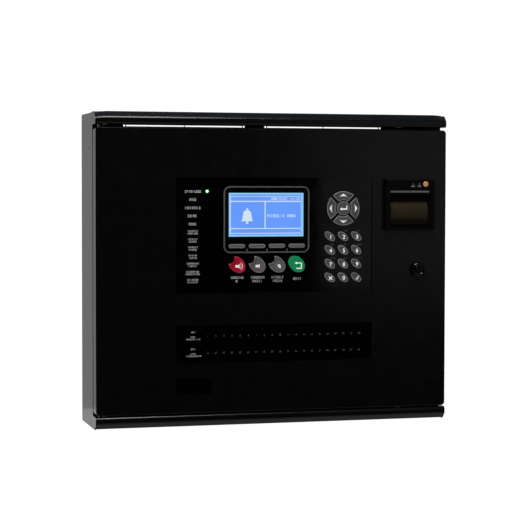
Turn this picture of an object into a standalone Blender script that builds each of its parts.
"""Wall-hung fire alarm control panel: a folded steel cabinet with a hinged pan door.

The door carries a keypad, a graphic display, a zone indicator strip, a panel
printer and a cam lock. Frame: X to the right, Y into the wall, Z up, with the
origin at the centre of the cabinet's back face. All constants are millimetres.
"""
import math

import bmesh
import bpy
from mathutils import Matrix, Vector

MM = 0.001
GAP = 0.3                      # air between pieces that touch in real life

# cabinet
CASE_W = 530.0
CASE_H = 454.0
FRONT = -120.0                 # front plane of the rails and of the door
SHEET = 1.5
SIDE_FRONT = -95.0             # front edge of the side walls beside the door
BACK_CORNER_R = 3.0
BEVEL = 8.6                    # the 45 degree bend between a rail's face and its crown
BEVEL_R = 4.0                  # rounding at each end of that bend
LIP_R = 4.0                    # rounding between a rail's face and its lip
RAIL_SHEET = 1.2
TOP_LIP = 209.6                # underside of the top rail's lip
BOTTOM_LIP = -208.4            # upper side of the bottom rail's lip
LIP_REAR = -98.5
TOP_CROWN = 228.5
BOTTOM_CROWN = -226.3
TOP_FLANGE_REAR = -70.0
RAIL_HALF = 263.0
END_DROOP = 2.0                # the top rail falls away towards its ends
END_DROOP_LENGTH = 18.0

# door
DOOR_HALF_W = 264.7
DOOR_TOP = 205.5
DOOR_BOTTOM = -206.5
DOOR_REAR = -98.5
DOOR_CORNER_R = 5.0
DOOR_EDGE_R = 1.1
HINGE_X = -258.0
HINGE_Y = -110.0
PIN_R = 2.2

# windows in the door, each (x0, x1, z0, z1)
KEYPAD_WINDOW = (-147.5, 148.5, -33.2, 134.4)
ZONE_WINDOW = (-147.5, 148.5, -134.2, -79.4)
BADGE_WINDOW = (-147.5, -95.7, -179.9, -156.1)
PRINTER_WINDOW = (171.0, 239.0, 60.0, 130.0)
PLATE_FRONT = -118.2           # plates sit just behind the door's sheet
PLATE_T = 2.0
PLATE_MARGIN = 7.0
BOARD_FRONT = -113.4
BOARD_T = 1.6

# display
SCREEN_WINDOW = (-74.5, 48.1, 44.6, 116.4)
MODULE_BOX = (-84.0, 58.0, 41.5, 125.5)
MODULE_FRONT = -115.9
MODULE_REAR = -104.5

# keys
KEY_CLEAR = 0.35               # gap between a key and its hole
KEY_FRONT = -119.1
KEY_EDGE = 0.35                # chamfer round a key's face
FLANGE_OUT = 0.65              # how far a key's flange reaches under the plate
FLANGE_FRONT = -115.9
FLANGE_REAR = -114.9
SOFT_X = (-57.5, -27.3, 2.8, 32.8)
SOFT_Z = 34.8
SOFT_SIZE = (25.5, 6.9)
FUNCTION_Z = 8.0
FUNCTION_AXES = (14.1, 10.6)
FUNCTION_TILT = -40.0
FUNCTION_NAMES = ("key_sounders_on", "key_sounders_silence", "key_buzzer_silence", "key_reset")
BITE_OFFSET = (-10.3, 8.1)
BITE_R = 6.7
NAV_CENTRE = (104.3, 89.4)
NAV_R_OUT = 25.2
NAV_R_IN = 12.0
NAV_GAP = 4.2
ENTER_R = 10.3
NUM_X = (83.6, 104.0, 124.4)
NUM_Z = (48.3, 28.1, 7.9, -12.3)
NUM_AXES = (9.4, 5.3)
NUM_TILT = -38.0
NUM_NAMES = (
    ("key_1", "key_2", "key_3"),
    ("key_4", "key_5", "key_6"),
    ("key_7", "key_8", "key_9"),
    ("key_cancel", "key_0", "key_accept"),
)
LED_PLACE = (-101.8, 114.4)
LED_R = 1.6

# printer
PRINTER_X = 205.0
BEZEL_HALF = 38.0
BEZEL_Z = (57.4, 133.0)
BEZEL_FRONT = -131.0
BEZEL_R = 1.2
BAY_HALF = 31.8
BAY_Z = (62.2, 116.4)
HOUSING_HALF = 33.4
HOUSING_Z = (60.6, 129.4)
HOUSING_FRONT = -118.2
HOUSING_REAR = -74.0
ROLL_CENTRE = (-107.6, 83.4)   # (y, z)
ROLL_R = 18.6
ROLL_CORE_R = 6.0
ROLL_HALF = 29.0
COVER_HALF = 31.3
COVER_T = 1.6
COVER_CHEEK_T = 1.2
COVER_HINGE = (-128.0, 65.0)   # (y, z)
COVER_HINGE_R = 2.4
COVER_BEND_R = 24.0
COVER_BEND_Z = 86.0
COVER_TOP = 106.9
COVER_TOP_Y = -124.2
COVER_CHEEK_Y = -118.5
PLATEN_CENTRE = (-118.8, 103.2)
PLATEN_R = 3.6
PLATEN_HALF = 27.5
FEED_PLACE = (228.4, 125.2)
FEED_R = 4.1

# lock
LOCK_PLACE = (219.7, -1.4)
COLLAR_R = 10.0
COLLAR_FRONT = -128.6
SHANK_R = 7.8
SHANK_REAR = -99.5
BORE_R = 6.2
PLUG_R = 5.9
PLUG_FRONT = -129.0
PLUG_REAR = -96.6
STUB_R = 3.4
CAM_FRONT = -96.2
CAM_T = 2.0
CAM_LENGTH = 37.0
CAM_HALF_W = 7.0

# insides of the cabinet
KNOCKOUT_X = (15.4, 202.7)     # inner and outer end of each knock-out
KNOCKOUT_Z = (175.8, 211.8)
KERF = 2.0
KERF_TAB = 1.0
KERF_DOT_R = 1.6
HANGER_PLACES = ((-232.0, 186.0), (232.0, 186.0), (-232.0, -186.0), (232.0, -186.0))
HANGER_HEAD_R = 5.0
HANGER_SLOT = 5.5
SIDE_HOLE = (-66.0, 177.0)      # (y, z) of the small hole in the left wall
SIDE_HOLE_R = 2.0
CARRIER = (-205.0, 75.0, -80.0, 158.0)
CARRIER_T = 1.2
PILLAR_R = 3.0
PILLAR_H = 10.0
BATTERY_SIZE = (151.0, 65.0, 94.0)


def clear_scene():
    for obj in list(bpy.data.objects):
        bpy.data.objects.remove(obj, do_unlink=True)


def make_collection(name):
    collection = bpy.data.collections.new(name)
    bpy.context.scene.collection.children.link(collection)
    return collection


clear_scene()
PARTS = make_collection("fire_alarm_panel")
CUTTERS = make_collection("cutters")


def material(name, colour, roughness, metallic):
    mat = bpy.data.materials.new(name)
    mat.use_nodes = True
    shader = mat.node_tree.nodes["Principled BSDF"]
    shader.inputs["Base Color"].default_value = (*colour, 1.0)
    shader.inputs["Roughness"].default_value = roughness
    shader.inputs["Metallic"].default_value = metallic
    mat.diffuse_color = (*colour, 1.0)
    return mat


BLACK_STEEL = material("black_powder_coat", (0.012, 0.012, 0.014), 0.35, 0.0)
ZINC = material("zinc_steel", (0.55, 0.56, 0.58), 0.35, 1.0)
BLACK_FILM = material("black_film", (0.008, 0.008, 0.009), 0.2, 0.0)
BLACK_PLASTIC = material("black_plastic", (0.015, 0.015, 0.017), 0.3, 0.0)
GREY_KEY = material("grey_key", (0.16, 0.16, 0.155), 0.45, 0.0)
RED_KEY = material("red_key", (0.42, 0.003, 0.02), 0.4, 0.0)
GREEN_KEY = material("green_key", (0.0, 0.22, 0.08), 0.4, 0.0)
ORANGE_KEY = material("orange_key", (0.75, 0.28, 0.07), 0.4, 0.0)
GREEN_LED = material("green_led", (0.1, 0.8, 0.25), 0.2, 0.0)
SMOKED = material("smoked_glass", (0.05, 0.04, 0.035), 0.08, 0.0)
BLUE_SCREEN = material("display_module", (0.05, 0.12, 0.5), 0.3, 0.0)
BOARD_GREEN = material("board_green", (0.02, 0.12, 0.05), 0.45, 0.0)
PAPER = material("paper", (0.8, 0.72, 0.6), 0.8, 0.0)
RUBBER = material("rubber", (0.02, 0.02, 0.02), 0.75, 0.0)
BATTERY_CASE = material("battery_case", (0.03, 0.03, 0.035), 0.5, 0.0)
TERMINAL_GREEN = material("terminal_green", (0.05, 0.3, 0.1), 0.45, 0.0)


def as_cutter(obj):
    """Turn an object into a cutter: hidden in renders and drawn as wire."""
    for collection in list(obj.users_collection):
        collection.objects.unlink(obj)
    CUTTERS.objects.link(obj)
    obj.hide_render = True
    obj.display_type = "WIRE"
    return obj


def object_from_bmesh(name, bm, mat=None):
    bmesh.ops.recalc_face_normals(bm, faces=bm.faces)
    mesh = bpy.data.meshes.new(name)
    bm.to_mesh(mesh)
    bm.free()
    if mat is not None:
        mesh.materials.append(mat)
    obj = bpy.data.objects.new(name, mesh)
    PARTS.objects.link(obj)
    return obj


def block(name, xs, ys, zs, mat=None, bevel=0.0, segments=1):
    """A box between (x0, x1), (y0, y1) and (z0, z1), with every edge rounded by bevel."""
    bm = bmesh.new()
    size = Vector((xs[1] - xs[0], ys[1] - ys[0], zs[1] - zs[0]))
    centre = Vector((xs[0] + xs[1], ys[0] + ys[1], zs[0] + zs[1])) / 2
    bmesh.ops.create_cube(bm, size=1.0)
    bmesh.ops.scale(bm, vec=size * MM, verts=bm.verts)
    bmesh.ops.translate(bm, vec=centre * MM, verts=bm.verts)
    if bevel > 0.0:
        bmesh.ops.bevel(bm, geom=list(bm.edges), offset=bevel * MM, segments=segments,
                        affect="EDGES", profile=0.5)
    return object_from_bmesh(name, bm, mat)


def disc(name, place, radius, ys, mat=None, segments=24):
    """A cylinder along Y at (x, z) between the two y values."""
    bm = bmesh.new()
    turn = Matrix.Rotation(math.radians(90.0), 4, "X")
    shift = Matrix.Translation(Vector((place[0], (ys[0] + ys[1]) / 2, place[1])) * MM)
    bmesh.ops.create_cone(bm, cap_ends=True, segments=segments, radius1=radius * MM,
                          radius2=radius * MM, depth=abs(ys[1] - ys[0]) * MM, matrix=shift @ turn)
    return object_from_bmesh(name, bm, mat)


def prism(name, outline, ys, mat=None):
    """A flat outline of (x, z) points, extruded along Y, made from a filled 2D curve."""
    curve = bpy.data.curves.new(name + "_outline", "CURVE")
    curve.dimensions = "2D"
    curve.fill_mode = "BOTH"
    curve.extrude = abs(ys[1] - ys[0]) / 2 * MM
    spline = curve.splines.new("POLY")
    spline.points.add(len(outline) - 1)
    for point, (x, z) in zip(spline.points, outline):
        point.co = (x * MM, z * MM, 0.0, 1.0)
    spline.use_cyclic_u = True
    return curve_to_mesh(name, curve, Matrix.Translation((0.0, (ys[0] + ys[1]) / 2 * MM, 0.0))
                         @ Matrix.Rotation(math.radians(90.0), 4, "X"), mat)


def curve_to_mesh(name, curve, matrix, mat):
    """Replace a curve by its closed mesh, standing in the world where matrix puts it."""
    guide = bpy.data.objects.new(name + "_guide", curve)
    bpy.context.scene.collection.objects.link(guide)
    depsgraph = bpy.context.evaluated_depsgraph_get()
    mesh = bpy.data.meshes.new_from_object(guide.evaluated_get(depsgraph))
    bm = bmesh.new()
    bm.from_mesh(mesh)
    bmesh.ops.remove_doubles(bm, verts=bm.verts, dist=0.000001)
    bmesh.ops.transform(bm, matrix=matrix, verts=bm.verts)
    bpy.data.objects.remove(guide, do_unlink=True)
    return object_from_bmesh(name, bm, mat)


def turned(name, place, profile, mat=None, segments=24, closed=False, axis="Y"):
    """A turned piece: (radius, along) points, listed down its outer side.

    The profile stands on a Screw modifier about local Z, which is then laid along the axis.
    """
    mesh = bpy.data.meshes.new(name)
    points = [(radius * MM, 0.0, along * MM) for radius, along in profile]
    edges = [(i, i + 1) for i in range(len(points) - 1)]
    if closed:
        edges.append((len(points) - 1, 0))
    mesh.from_pydata(points, edges, [])
    if mat is not None:
        mesh.materials.append(mat)
    obj = bpy.data.objects.new(name, mesh)
    PARTS.objects.link(obj)
    screw = obj.modifiers.new("turn", "SCREW")
    screw.axis = "Z"
    screw.steps = segments
    screw.render_steps = segments
    screw.use_merge_vertices = True
    screw.merge_threshold = 0.00001
    screw.use_smooth_shade = True
    turns = {"Y": Matrix.Rotation(math.radians(90.0), 4, "X"),
             "X": Matrix.Rotation(math.radians(90.0), 4, "Y"),
             "Z": Matrix.Identity(4)}
    obj.matrix_world = Matrix.Translation(Vector(place) * MM) @ turns[axis]
    return obj


def boolean(target, tool, operation="DIFFERENCE"):
    modifier = target.modifiers.new(operation.lower(), "BOOLEAN")
    modifier.object = as_cutter(tool)
    modifier.operation = operation
    modifier.solver = "EXACT"
    return target


def chamfer_front(obj, y_front, width):
    """Chamfer the edges round the face that lies in the plane y_front."""
    bm = bmesh.new()
    bm.from_mesh(obj.data)
    edges = [edge for edge in bm.edges
             if all(abs(v.co.y - y_front * MM) < 0.00001 for v in edge.verts)
             and any(abs(face.normal.y) < 0.5 for face in edge.link_faces)]
    bmesh.ops.bevel(bm, geom=edges, offset=width * MM, segments=1, affect="EDGES", profile=0.5)
    bm.to_mesh(obj.data)
    bm.free()
    return obj


def smooth(obj, angle=35.0):
    obj.data.shade_smooth()
    obj.data.set_sharp_from_angle(angle=math.radians(angle))
    return obj


def set_origin(obj, origin):
    """Move an object's origin to a joint's axis while its mesh stays where it is."""
    point = Vector(origin) * MM
    local = obj.matrix_world.inverted() @ point
    obj.data.transform(Matrix.Translation(-local))
    obj.matrix_world = Matrix.Translation(point) @ obj.matrix_world.to_3x3().to_4x4()
    return obj


def arc(centre, radius, start, end, steps):
    """Points on an arc, angles in degrees."""
    points = []
    for i in range(steps + 1):
        angle = math.radians(start + (end - start) * i / steps)
        points.append((centre[0] + radius * math.cos(angle), centre[1] + radius * math.sin(angle)))
    return points


def ellipse(place, axes, tilt, grow, steps):
    """A tilted ellipse, its half axes made longer by grow."""
    turn = math.radians(tilt)
    points = []
    for i in range(steps):
        angle = 2 * math.pi * i / steps
        along = (axes[0] + grow) * math.cos(angle)
        across = (axes[1] + grow) * math.sin(angle)
        points.append((place[0] + along * math.cos(turn) - across * math.sin(turn),
                       place[1] + along * math.sin(turn) + across * math.cos(turn)))
    return points


def rounded_rect(place, size, radius, grow, steps):
    half_w = size[0] / 2 + grow
    half_h = size[1] / 2 + grow
    r = radius + grow
    corners = ((1, 1, 0), (-1, 1, 90), (-1, -1, 180), (1, -1, 270))
    points = []
    for sx, sz, start in corners:
        centre = (place[0] + sx * (half_w - r), place[1] + sz * (half_h - r))
        points.extend(arc(centre, r, start, start + 90, steps))
    return points


def filleted(corners):
    """An open outline through (point, radius) corners, rounded where the radius isn't nothing."""
    points = []
    for i, (corner, radius) in enumerate(corners):
        if radius == 0.0:
            points.append(corner)
            continue
        here = Vector(corner)
        back = (Vector(corners[i - 1][0]) - here).normalized()
        ahead = (Vector(corners[i + 1][0]) - here).normalized()
        half = back.angle(ahead) / 2
        centre = here + (back + ahead).normalized() * (radius / math.sin(half))
        start = here + back * (radius / math.tan(half)) - centre
        end = here + ahead * (radius / math.tan(half)) - centre
        turn = start.angle_signed(end)
        steps = max(2, round(abs(math.degrees(turn)) / 15))
        for k in range(steps + 1):
            spoke = start.copy()
            spoke.rotate(Matrix.Rotation(-turn * k / steps, 2))
            points.append(tuple(centre + spoke))
    return points


def nose(crown, lip, rear, lip_rear):
    """A rail seen from the side, as (y, z): crown, 45 degree bend, upright face and lip."""
    inward = BEVEL if crown < lip else -BEVEL
    return [((rear, crown), 0.0), ((FRONT + BEVEL, crown), BEVEL_R),
            ((FRONT, crown + inward), BEVEL_R), ((FRONT, lip), LIP_R), ((lip_rear, lip), 0.0)]


def ring_sector(place, direction, grow, steps):
    """One quarter of the arrow ring, with straight sides parallel to the diagonals."""
    outer = NAV_R_OUT + grow
    inner = NAV_R_IN - grow
    half_gap = NAV_GAP / 2 - grow
    outer_half = 45.0 - math.degrees(math.asin(half_gap / outer))
    inner_half = 45.0 - math.degrees(math.asin(half_gap / inner))
    points = arc(place, outer, direction - outer_half, direction + outer_half, steps)
    points.extend(arc(place, inner, direction + inner_half, direction - inner_half, steps))
    return points


# ---------------------------------------------------------------- cabinet

def side_outline():
    """The cabinet's outline from the side, as (y, z), with the rails' noses at its front."""
    half = CASE_H / 2
    top = filleted(nose(half, TOP_LIP, -BACK_CORNER_R, SIDE_FRONT))
    bottom = filleted(nose(-half, BOTTOM_LIP, -BACK_CORNER_R, SIDE_FRONT))
    rear_top = arc((-BACK_CORNER_R, half - BACK_CORNER_R), BACK_CORNER_R, 0, 90, 3)
    rear_bottom = arc((-BACK_CORNER_R, BACK_CORNER_R - half), BACK_CORNER_R, 270, 360, 3)
    return rear_top[:-1] + top + list(reversed(bottom)) + rear_bottom[1:]


def knockout_cutters():
    """Kerfs round the two cable-entry plates, broken by tabs that hold them."""
    tools = []
    depth = (-SHEET - 2.0, 2.0)
    inner, outer = KNOCKOUT_X
    low, high = KNOCKOUT_Z
    middle = (inner + outer) / 2
    half = KERF / 2
    stops = (inner + 2 * KERF_DOT_R + KERF_TAB, middle - KERF_TAB / 2,
             middle + KERF_TAB / 2, outer - 2 * KERF_DOT_R - KERF_TAB)
    for sign in (-1, 1):
        for z in (low, high):
            for start, end in (stops[:2], stops[2:]):
                xs = sorted((sign * start, sign * end))
                tools.append(block("kerf_line", xs, depth, (z - half, z + half)))
            for x in (inner + KERF_DOT_R, outer - KERF_DOT_R):
                tools.append(disc("kerf_dot", (sign * x, z), KERF_DOT_R, depth, segments=12))
        for x in (inner + KERF_DOT_R, outer - KERF_DOT_R):
            zs = (low + 2 * KERF_DOT_R, high - 2 * KERF_DOT_R)
            xs = (sign * x - half, sign * x + half)
            tools.append(block("kerf_side", xs, depth, zs))
    return tools


def hanger_cutters():
    """Keyhole slots for the wall screws: a round head hole with a slot above it."""
    tools = []
    depth = (-SHEET - 2.0, 2.0)
    for x, z in HANGER_PLACES:
        tools.append(disc("hanger_hole", (x, z), HANGER_HEAD_R, depth, segments=16))
        xs = (x - HANGER_SLOT / 2, x + HANGER_SLOT / 2)
        tools.append(block("hanger_slot", xs, depth, (z, z + 2.4 * HANGER_HEAD_R)))
    return tools


def make_back_box():
    """Folded tray: the side outline across the full width, hollowed behind and between the rails."""
    half_w = CASE_W / 2
    inner_w = half_w - SHEET
    inner_h = CASE_H / 2 - SHEET
    box = prism("back_box", side_outline(), (-half_w, half_w), BLACK_STEEL)
    turn = Matrix.Rotation(math.radians(90.0), 4, "Z")
    box.data.transform(turn)
    far = FRONT - 30.0
    boolean(box, block("inside", (-inner_w, inner_w), (SIDE_FRONT - 1.0, -SHEET), (-inner_h, inner_h)))
    boolean(box, block("mouth", (-inner_w, inner_w), (far, SIDE_FRONT), (-CASE_H, CASE_H)))
    for tool in knockout_cutters() + hanger_cutters():
        boolean(box, tool)
    hole = disc_x("side_hole", SIDE_HOLE, SIDE_HOLE_R, (-half_w - 2.0, -inner_w + 2.0), segments=16)
    boolean(box, hole)
    return box


def rail(name, profile, stations, droop):
    """A bent strip: the (y, z) profile at every x station, thickened inwards."""
    bm = bmesh.new()
    nx = len(stations) - 1
    ny = len(profile) - 1
    bmesh.ops.create_grid(bm, x_segments=nx, y_segments=ny, size=1.0)
    for vert in bm.verts:
        x = stations[round((vert.co.x + 1) / 2 * nx)]
        y, z = profile[round((vert.co.y + 1) / 2 * ny)]
        vert.co = Vector((x, y, z - droop(x, y, z))) * MM
    bm.normal_update()
    front = min(bm.faces, key=lambda face: face.calc_center_median().y)
    if front.normal.y > 0:
        bmesh.ops.reverse_faces(bm, faces=bm.faces)
    mesh = bpy.data.meshes.new(name)
    bm.to_mesh(mesh)
    bm.free()
    mesh.materials.append(BLACK_STEEL)
    obj = bpy.data.objects.new(name, mesh)
    PARTS.objects.link(obj)
    solidify = obj.modifiers.new("sheet", "SOLIDIFY")
    solidify.thickness = RAIL_SHEET * MM
    solidify.offset = -1.0
    solidify.use_even_offset = True
    return obj


def hood_droop(x, y, z):
    """How far the top rail's nose falls at its ends: nothing at the lip or behind the case's front."""
    near_end = max(0.0, abs(x) - (RAIL_HALF - END_DROOP_LENGTH)) / END_DROOP_LENGTH
    height = max(0.0, z - (TOP_LIP + LIP_R)) / (TOP_CROWN - TOP_LIP - LIP_R)
    forward = min(1.0, max(0.0, SIDE_FRONT - GAP - y) / (SIDE_FRONT - FRONT - BEVEL))
    return END_DROOP * near_end ** 2 * height * forward


def level(x, y, z):
    """No droop: the bottom rail is straight from end to end."""
    return 0.0


def make_top_rail():
    profile = filleted(nose(TOP_CROWN, TOP_LIP, TOP_FLANGE_REAR, LIP_REAR))
    profile.insert(1, (SIDE_FRONT - GAP, TOP_CROWN))
    ends = [RAIL_HALF - END_DROOP_LENGTH * k / 4 for k in range(5)]
    stations = [-x for x in ends] + list(reversed(ends))
    obj = rail("top_rail", profile, stations, hood_droop)
    boolean(obj, disc_z("pin_hole_top", (HINGE_X, HINGE_Y), PIN_R + 0.3, (TOP_LIP - 3, TOP_LIP + 3)))
    return obj


def make_bottom_rail():
    profile = filleted(nose(BOTTOM_CROWN, BOTTOM_LIP, SIDE_FRONT - GAP, LIP_REAR))
    obj = rail("bottom_rail", profile, [-RAIL_HALF, RAIL_HALF], level)
    boolean(obj, disc_z("pin_hole_bottom", (HINGE_X, HINGE_Y), PIN_R + 0.3,
                        (BOTTOM_LIP - 3, BOTTOM_LIP + 3)))
    return obj


def disc_x(name, place, radius, xs, mat=None, segments=24):
    """A cylinder along X at (y, z)."""
    obj = disc(name, place, radius, (-xs[1], -xs[0]), mat, segments)
    obj.data.transform(Matrix.Rotation(math.radians(90.0), 4, "Z"))
    return obj


def disc_z(name, place, radius, zs, mat=None, segments=24):
    """A cylinder along Z at (x, y)."""
    bm = bmesh.new()
    shift = Matrix.Translation(Vector((place[0], place[1], (zs[0] + zs[1]) / 2)) * MM)
    bmesh.ops.create_cone(bm, cap_ends=True, segments=segments, radius1=radius * MM,
                          radius2=radius * MM, depth=(zs[1] - zs[0]) * MM, matrix=shift)
    return object_from_bmesh(name, bm, mat)


def make_hinge_pins():
    """Headed pins that hang in the rails' lips and reach into the door's flanges."""
    head_t = 1.8
    reach = 7.0
    top_seat = TOP_LIP + RAIL_SHEET + GAP
    profile = [(0.0, top_seat + head_t), (4.0, top_seat + head_t), (4.0, top_seat),
               (PIN_R, top_seat), (PIN_R, DOOR_TOP - reach), (0.0, DOOR_TOP - reach)]
    turned("upper_hinge_pin", (HINGE_X, HINGE_Y, 0.0), profile, ZINC, axis="Z")
    seat = BOTTOM_LIP - RAIL_SHEET - GAP
    profile = [(0.0, DOOR_BOTTOM + reach), (PIN_R, DOOR_BOTTOM + reach), (PIN_R, seat),
               (4.0, seat), (4.0, seat - head_t), (0.0, seat - head_t)]
    turned("lower_hinge_pin", (HINGE_X, HINGE_Y, 0.0), profile, ZINC, axis="Z")


def make_strike_plate():
    """Angle on the right wall: the cam turns behind its front flange."""
    z = LOCK_PLACE[1]
    wall = CASE_W / 2 - SHEET - GAP
    leg = block("strike_plate", (wall - 1.6, wall), (CAM_FRONT - 2.2, -72.0), (z - 16, z + 16), ZINC)
    boolean(leg, block("strike_flange", (wall - 16.0, wall - 0.4), (CAM_FRONT - 2.2, CAM_FRONT - 0.7),
                       (z - 16, z + 16)), "UNION")
    return leg


def make_board_carrier():
    """Steel sheet on the back wall with four pillars for the main board."""
    x0, x1, z0, z1 = CARRIER
    rear = -SHEET - GAP
    plate = block("board_carrier", (x0, x1), (rear - CARRIER_T, rear), (z0, z1), ZINC)
    front = rear - CARRIER_T - PILLAR_H
    for x in (x0 + 10, x1 - 10):
        for z in (z0 + 10, z1 - 10):
            boolean(plate, disc("pillar", (x, z), PILLAR_R, (front, rear - 0.4), segments=12), "UNION")
    return plate


def make_main_board():
    x0, x1, z0, z1 = CARRIER
    rear = -SHEET - GAP - CARRIER_T - PILLAR_H - GAP
    block("main_board", (x0 + 4, x1 - 4), (rear - BOARD_T, rear), (z0 + 4, z1 - 4), BOARD_GREEN)
    front = rear - BOARD_T - GAP
    strip = block("field_terminals", (x0 + 14, x1 - 14), (front - 14.0, front), (z1 - 24, z1 - 8),
                  TERMINAL_GREEN)
    slot = block("terminal_step", (x0, x1), (front - 20.0, front - 8.0), (z1 - 16, z1))
    boolean(strip, slot)


def make_power_supply():
    """Sheet metal case with a vent slot row in its front."""
    case = block("power_supply", (92.0, 240.0), (-47.0, -SHEET - GAP), (-80.0, 90.0), ZINC, 0.8, 1)
    for k in range(6):
        z = -50.0 + 22.0 * k
        boolean(case, block("vent", (110.0, 222.0), (-60.0, -44.0), (z, z + 8.0)))
    return case


def make_batteries():
    w, d, h = BATTERY_SIZE
    z0 = SHEET + GAP - CASE_H / 2
    rear = -SHEET - GAP
    for name, x0 in (("battery_left", -3.0 - w), ("battery_right", 3.0)):
        case = block(name, (x0, x0 + w), (rear - d, rear), (z0, z0 + h), BATTERY_CASE, 1.5, 1)
        for x in (x0 + 12, x0 + w - 12):
            boolean(case, block("tab", (x - 2.4, x + 2.4), (rear - 22, rear - 21.2),
                                (z0 + h - 3, z0 + h + 6.4)), "UNION")


def make_battery_bracket():
    """Strap over both batteries, folded back to the wall at its ends."""
    w, d, _ = BATTERY_SIZE
    reach = w + 3.0 + GAP + 1.0
    rear = -SHEET - GAP
    front = rear - d - GAP
    z = SHEET - CASE_H / 2 + 62.0
    strap = block("battery_bracket", (-reach - 1.5, reach + 1.5), (front - 1.5, rear), (z - 10, z + 10),
                  ZINC)
    boolean(strap, block("strap_inside", (-reach, reach), (front, rear + 5), (z - 20, z + 20)))
    for sign in (-1, 1):
        xs = sorted((sign * (reach + 0.2), sign * (reach + 16.0)))
        boolean(strap, block("foot", xs, (rear - 1.5, rear), (z - 10, z + 10)), "UNION")
    return strap


# ---------------------------------------------------------------- door

def make_door_panel():
    """Pan: an open box with rounded corners, thickened inwards, then its windows cut."""
    bm = bmesh.new()
    bmesh.ops.create_cube(bm, size=1.0)
    size = Vector((2 * DOOR_HALF_W, DOOR_REAR - FRONT, DOOR_TOP - DOOR_BOTTOM))
    centre = Vector((0.0, (DOOR_REAR + FRONT) / 2, (DOOR_TOP + DOOR_BOTTOM) / 2))
    bmesh.ops.scale(bm, vec=size * MM, verts=bm.verts)
    bmesh.ops.translate(bm, vec=centre * MM, verts=bm.verts)
    along_y = [e for e in bm.edges if abs((e.verts[0].co - e.verts[1].co).y) > 0.01]
    bmesh.ops.bevel(bm, geom=along_y, offset=DOOR_CORNER_R * MM, segments=4, affect="EDGES", profile=0.5)
    rear = [f for f in bm.faces if f.calc_center_median().y > (DOOR_REAR - 0.01) * MM]
    bmesh.ops.delete(bm, geom=rear, context="FACES")
    rim = [e for e in bm.edges if all(abs(v.co.y - FRONT * MM) < 0.00001 for v in e.verts)]
    bmesh.ops.bevel(bm, geom=rim, offset=DOOR_EDGE_R * MM, segments=3, affect="EDGES", profile=0.5)
    bmesh.ops.recalc_face_normals(bm, faces=bm.faces)
    front = min(bm.faces, key=lambda face: face.calc_center_median().y)
    if front.normal.y > 0:
        bmesh.ops.reverse_faces(bm, faces=bm.faces)
    mesh = bpy.data.meshes.new("door_panel")
    bm.to_mesh(mesh)
    bm.free()
    mesh.materials.append(BLACK_STEEL)
    door = bpy.data.objects.new("door_panel", mesh)
    PARTS.objects.link(door)
    solidify = door.modifiers.new("sheet", "SOLIDIFY")
    solidify.thickness = SHEET * MM
    solidify.offset = -1.0
    solidify.use_even_offset = True
    for x0, x1, z0, z1 in (KEYPAD_WINDOW, ZONE_WINDOW, BADGE_WINDOW, PRINTER_WINDOW):
        boolean(door, block("window", (x0, x1), (FRONT - 5, FRONT + 5), (z0, z1)))
    boolean(door, disc("lock_hole", LOCK_PLACE, SHANK_R + GAP, (FRONT - 5, FRONT + 5)))
    for zs in ((DOOR_TOP - 4, DOOR_TOP + 4), (DOOR_BOTTOM - 4, DOOR_BOTTOM + 4)):
        boolean(door, disc_z("pin_hole_door", (HINGE_X, HINGE_Y), PIN_R + 0.15, zs))
    return smooth(set_origin(door, (HINGE_X, HINGE_Y, 0.0)))


def window_plate(name, window, ys):
    x0, x1, z0, z1 = window
    m = PLATE_MARGIN
    return block(name, (x0 - m, x1 + m), ys, (z0 - m, z1 + m), BLACK_FILM)


def make_keypad_plate(key_outlines):
    plate = window_plate("keypad_plate", KEYPAD_WINDOW, (PLATE_FRONT, PLATE_FRONT + PLATE_T))
    through = (PLATE_FRONT - 3, PLATE_FRONT + PLATE_T + 3)
    for outline in key_outlines:
        boolean(plate, prism("key_hole", outline(KEY_CLEAR), through))
    x0, x1, z0, z1 = SCREEN_WINDOW
    boolean(plate, block("screen_hole", (x0, x1), through, (z0, z1)))
    boolean(plate, disc("led_hole", LED_PLACE, LED_R + GAP, through, segments=16))
    return plate


def make_display():
    x0, x1, z0, z1 = SCREEN_WINDOW
    pane = (PLATE_FRONT + 0.2, PLATE_FRONT + 1.8)
    block("lcd_window", (x0 + GAP, x1 - GAP), pane, (z0 + GAP, z1 - GAP), SMOKED)
    x0, x1, z0, z1 = MODULE_BOX
    block("lcd_module", (x0, x1), (MODULE_FRONT, MODULE_REAR), (z0, z1), BLUE_SCREEN, 0.5, 1)


def make_boards():
    x0, x1, z0, z1 = KEYPAD_WINDOW
    ys = (BOARD_FRONT, BOARD_FRONT + BOARD_T)
    board = block("keypad_board", (x0 - 3, x1 + 3), ys, (z0 - 3, z1 + 3), BOARD_GREEN)
    x0, x1, z0, z1 = MODULE_BOX
    boolean(board, block("module_gap", (x0 - 1, x1 + 1), (ys[0] - 5, ys[1] + 5), (z0 - 1, z1 + 1)))
    x0, x1, z0, z1 = ZONE_WINDOW
    block("zone_board", (x0 - 3, x1 + 3), ys, (z0 - 3, z1 + 3), BOARD_GREEN)
    disc("buzzer", (-118.0, -5.0), 12.0, (ys[1] + GAP, ys[1] + 9.5), BLACK_PLASTIC)


def make_plates():
    window_plate("zone_plate", ZONE_WINDOW, (PLATE_FRONT, PLATE_FRONT + PLATE_T))
    window_plate("badge_plate", BADGE_WINDOW, (PLATE_FRONT, PLATE_FRONT + 1.5))
    rear = BOARD_FRONT - GAP
    front = PLATE_FRONT - 0.5
    profile = [(0.0, front), (LED_R * 0.6, front + 0.15), (LED_R, front + 0.6), (LED_R, rear), (0.0, rear)]
    profile = [(r, -y) for r, y in profile]
    led = turned("power_led", (LED_PLACE[0], 0.0, LED_PLACE[1]), profile, GREEN_LED, segments=16)
    return led


# ---------------------------------------------------------------- keys

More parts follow.
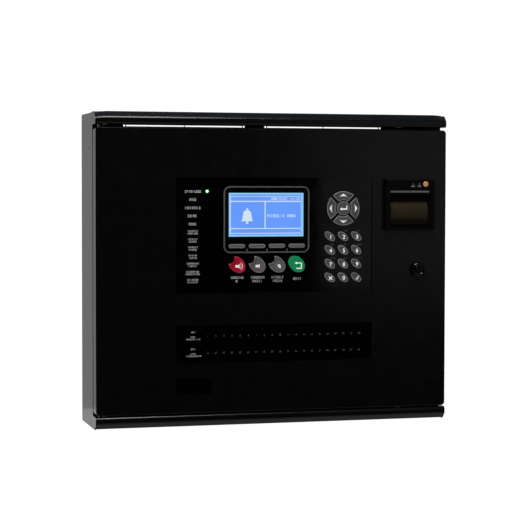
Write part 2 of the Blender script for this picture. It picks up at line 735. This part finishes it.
def make_key(name, outline, place, mat):
    """A cap that stands through the plate, and a flange that keeps it there."""
    cap = prism(name, outline(0.0), (KEY_FRONT, FLANGE_REAR - 0.3), mat)
    chamfer_front(cap, KEY_FRONT, KEY_EDGE)
    flange = prism(name + "_flange", outline(FLANGE_OUT), (FLANGE_FRONT, FLANGE_REAR))
    boolean(cap, flange, "UNION")
    return set_origin(cap, (place[0], KEY_FRONT, place[1]))


def bite_outline(place, grow, steps):
    """The tilted ellipse with the bite taken out, as one outline."""
    centre = (place[0] + BITE_OFFSET[0], place[1] + BITE_OFFSET[1])
    radius = BITE_R - grow
    whole = ellipse(place, FUNCTION_AXES, FUNCTION_TILT, grow, steps)
    kept = [math.dist(point, centre) > radius for point in whole]
    start = next(i for i in range(steps) if kept[i] and not kept[i - 1])
    points = []
    for i in range(steps):
        if kept[(start + i) % steps]:
            points.append(whole[(start + i) % steps])
    first = math.degrees(math.atan2(points[-1][1] - centre[1], points[-1][0] - centre[0]))
    last = math.degrees(math.atan2(points[0][1] - centre[1], points[0][0] - centre[0]))
    if first < last:
        first += 360.0
    bite = arc(centre, radius, first, last, 8)
    return points + bite[1:-1]


def key_plan():
    """Every key as (name, outline of grow, centre, material)."""
    plan = []
    for i, x in enumerate(SOFT_X):
        place = (x, SOFT_Z)
        radius = SOFT_SIZE[1] / 2 - 0.05
        plan.append((f"key_soft_{i + 1}",
                     lambda g, p=place, r=radius: rounded_rect(p, SOFT_SIZE, r, g, 4), place, GREY_KEY))
    colours = (RED_KEY, GREY_KEY, GREY_KEY, GREEN_KEY)
    for name, x, colour in zip(FUNCTION_NAMES, SOFT_X, colours):
        place = (x, FUNCTION_Z)
        if name == "key_reset":
            outline = lambda g, p=place: ellipse(p, FUNCTION_AXES, FUNCTION_TILT, g, 28)
        else:
            outline = lambda g, p=place: bite_outline(p, g, 36)
        plan.append((name, outline, place, colour))
    for name, direction in (("key_right", 0), ("key_up", 90), ("key_left", 180), ("key_down", 270)):
        middle = (NAV_R_OUT + NAV_R_IN) / 2
        place = (NAV_CENTRE[0] + middle * math.cos(math.radians(direction)),
                 NAV_CENTRE[1] + middle * math.sin(math.radians(direction)))
        plan.append((name, lambda g, d=direction: ring_sector(NAV_CENTRE, d, g, 8), place, GREY_KEY))
    plan.append(("key_enter", lambda g: ellipse(NAV_CENTRE, (ENTER_R, ENTER_R), 0, g, 24),
                 NAV_CENTRE, GREY_KEY))
    for row, z in zip(NUM_NAMES, NUM_Z):
        for name, x in zip(row, NUM_X):
            plan.append((name, lambda g, p=(x, z): ellipse(p, NUM_AXES, NUM_TILT, g, 20), (x, z), GREY_KEY))
    return plan


# ---------------------------------------------------------------- printer

def make_printer_frame():
    """Bezel round the paper bay, with the header that holds the feed button."""
    xs = (PRINTER_X - BEZEL_HALF, PRINTER_X + BEZEL_HALF)
    frame = block("printer_frame", xs, (BEZEL_FRONT, FRONT - GAP), BEZEL_Z, BLACK_PLASTIC, BEZEL_R, 2)
    bay = (PRINTER_X - BAY_HALF, PRINTER_X + BAY_HALF)
    boolean(frame, block("bay", bay, (BEZEL_FRONT - 5, FRONT + 5), BAY_Z))
    boolean(frame, disc("feed_hole", FEED_PLACE, FEED_R + GAP, (BEZEL_FRONT - 5, FRONT + 5)))
    for sign in (-1, 1):
        edge = PRINTER_X + sign * BEZEL_HALF
        xs = sorted((edge + sign * 1.3, edge - sign * 2.0))
        boolean(frame, block("grip", xs, (BEZEL_FRONT + 1.2, FRONT - 3.0), (90.6, 92.6)), "UNION")
    return frame


def make_printer_housing():
    """Open-fronted box behind the door that holds the roll."""
    xs = (PRINTER_X - HOUSING_HALF, PRINTER_X + HOUSING_HALF)
    housing = block("printer_housing", xs, (HOUSING_FRONT, HOUSING_REAR), HOUSING_Z, BLACK_PLASTIC)
    wall = 1.5
    inner = (PRINTER_X - HOUSING_HALF + wall, PRINTER_X + HOUSING_HALF - wall)
    boolean(housing, block("housing_inside", inner, (HOUSING_FRONT - 5, HOUSING_REAR - wall),
                           (HOUSING_Z[0] + wall, HOUSING_Z[1] - wall)))
    return housing


def make_printer_head():
    """Print head block with the steel tear bar along its front."""
    half = BAY_HALF - 0.8
    xs = (PRINTER_X - half, PRINTER_X + half)
    head = block("printer_head", xs, (-127.6, -104.0), (108.6, 115.6), ZINC)
    teeth = 20
    pitch = 2 * half / teeth
    for k in range(teeth - 1):
        x = PRINTER_X - half + pitch * (k + 1)
        notch = block("tooth_gap", (x - 0.5, x + 0.5), (-129.0, -126.4), (107.0, 109.8))
        boolean(head, notch)
    return head


def cover_front(inset):
    """The cover's curved front seen from the side, as (y, z), moved inwards by inset."""
    belly = COVER_HINGE[0] - COVER_HINGE_R + inset
    bend = (COVER_HINGE[0] - COVER_HINGE_R + COVER_BEND_R, COVER_BEND_Z)
    return [(belly, COVER_BEND_Z)] + arc(bend, COVER_BEND_R - inset, 180, 145, 4)[1:]


def side_prism(name, outline, half, mat=None):
    """A side view of (y, z) points, extruded along X about the printer's middle."""
    solid = prism(name, outline, (-half, half), mat)
    solid.data.transform(Matrix.Translation((PRINTER_X * MM, 0.0, 0.0))
                         @ Matrix.Rotation(math.radians(90.0), 4, "Z"))
    return solid


def make_printer_cover():
    """Smoked cover: a curved front with a cheek at each side, round below where it hinges."""
    y, z = COVER_HINGE
    outline = arc(COVER_HINGE, COVER_HINGE_R, 270, 180, 4) + cover_front(0.0)
    outline.extend(((COVER_TOP_Y, COVER_TOP), (COVER_CHEEK_Y, COVER_TOP), (COVER_CHEEK_Y, 97.0),
                    (COVER_CHEEK_Y - 4.0, z - COVER_HINGE_R)))
    cover = side_prism("printer_cover", outline, COVER_HALF, SMOKED)
    hollow = [(y - COVER_HINGE_R + COVER_T, z + 1.2)] + cover_front(COVER_T)
    hollow.extend(((COVER_TOP_Y + COVER_T, COVER_TOP + 1.0), (-108.0, COVER_TOP + 1.0), (-108.0, z + 1.2)))
    boolean(cover, side_prism("cover_hollow", hollow, COVER_HALF - COVER_CHEEK_T))
    return smooth(set_origin(cover, (PRINTER_X, y, z)))


def make_platen():
    y, z = PLATEN_CENTRE
    half = PLATEN_HALF
    profile = [(0.0, half), (PLATEN_R, half), (PLATEN_R, -half), (0.0, -half)]
    return turned("platen_roller", (PRINTER_X, y, z), profile, RUBBER, segments=16, axis="X")


def make_paper_roll():
    y, z = ROLL_CENTRE
    half = ROLL_HALF
    profile = [(ROLL_R, half), (ROLL_R, -half), (ROLL_CORE_R, -half), (ROLL_CORE_R, half)]
    return turned("paper_roll", (PRINTER_X, y, z), profile, PAPER, segments=36, closed=True, axis="X")


def make_feed_button():
    profile = [(0.0, 132.3), (FEED_R - 0.6, 132.3), (FEED_R, 131.7), (FEED_R, 122.5), (0.0, 122.5)]
    return turned("feed_button", (FEED_PLACE[0], 0.0, FEED_PLACE[1]), profile, ORANGE_KEY)


# ---------------------------------------------------------------- lock

def make_lock():
    x, z = LOCK_PLACE
    front = -COLLAR_FRONT
    seat = -FRONT + GAP
    profile = [(COLLAR_R - 1.2, front), (COLLAR_R, front - 1.2), (COLLAR_R, seat), (SHANK_R, seat),
               (SHANK_R, -SHANK_REAR), (BORE_R, -SHANK_REAR), (BORE_R, front)]
    turned("lock_barrel", (x, 0.0, z), profile, BLACK_PLASTIC, segments=32, closed=True)
    plug = turned("lock_plug", (x, 0.0, z),
                  [(0.0, -PLUG_FRONT), (PLUG_R - 0.5, -PLUG_FRONT), (PLUG_R, -PLUG_FRONT - 0.5),
                   (PLUG_R, -PLUG_REAR), (STUB_R, -PLUG_REAR), (STUB_R, -CAM_FRONT - CAM_T - 1.2),
                   (0.0, -CAM_FRONT - CAM_T - 1.2)], ZINC)
    boolean(plug, block("key_slot", (x - 0.9, x + 0.9), (PLUG_FRONT - 3, PLUG_FRONT + 9), (z - 3.8, z + 3.8)))
    nut = disc("lock_nut", LOCK_PLACE, 12.0, (FRONT + SHEET + GAP, FRONT + SHEET + GAP + 4.0), ZINC, 6)
    boolean(nut, disc("nut_bore", LOCK_PLACE, SHANK_R + GAP, (FRONT - 5, FRONT + 15)))
    tip = (x, z - CAM_LENGTH + CAM_HALF_W)
    outline = arc(LOCK_PLACE, CAM_HALF_W, 0, 180, 8) + arc(tip, CAM_HALF_W, 180, 360, 8)
    cam = prism("lock_cam", outline, (CAM_FRONT, CAM_FRONT + CAM_T), ZINC)
    boolean(cam, disc("cam_hole", LOCK_PLACE, STUB_R + GAP, (CAM_FRONT - 3, CAM_FRONT + 6)))
    return set_origin(cam, (x, CAM_FRONT, z))


def main():
    smooth(make_back_box())
    smooth(make_top_rail())
    smooth(make_bottom_rail())
    make_hinge_pins()
    make_strike_plate()
    make_board_carrier()
    make_main_board()
    make_power_supply()
    make_batteries()
    make_battery_bracket()
    make_door_panel()
    plan = key_plan()
    make_keypad_plate([outline for _, outline, _, _ in plan])
    make_display()
    make_boards()
    make_plates()
    for name, outline, place, mat in plan:
        make_key(name, outline, place, mat)
    make_printer_frame()
    make_printer_housing()
    make_printer_head()
    make_printer_cover()
    make_platen()
    make_paper_roll()
    make_feed_button()
    make_lock()


main()
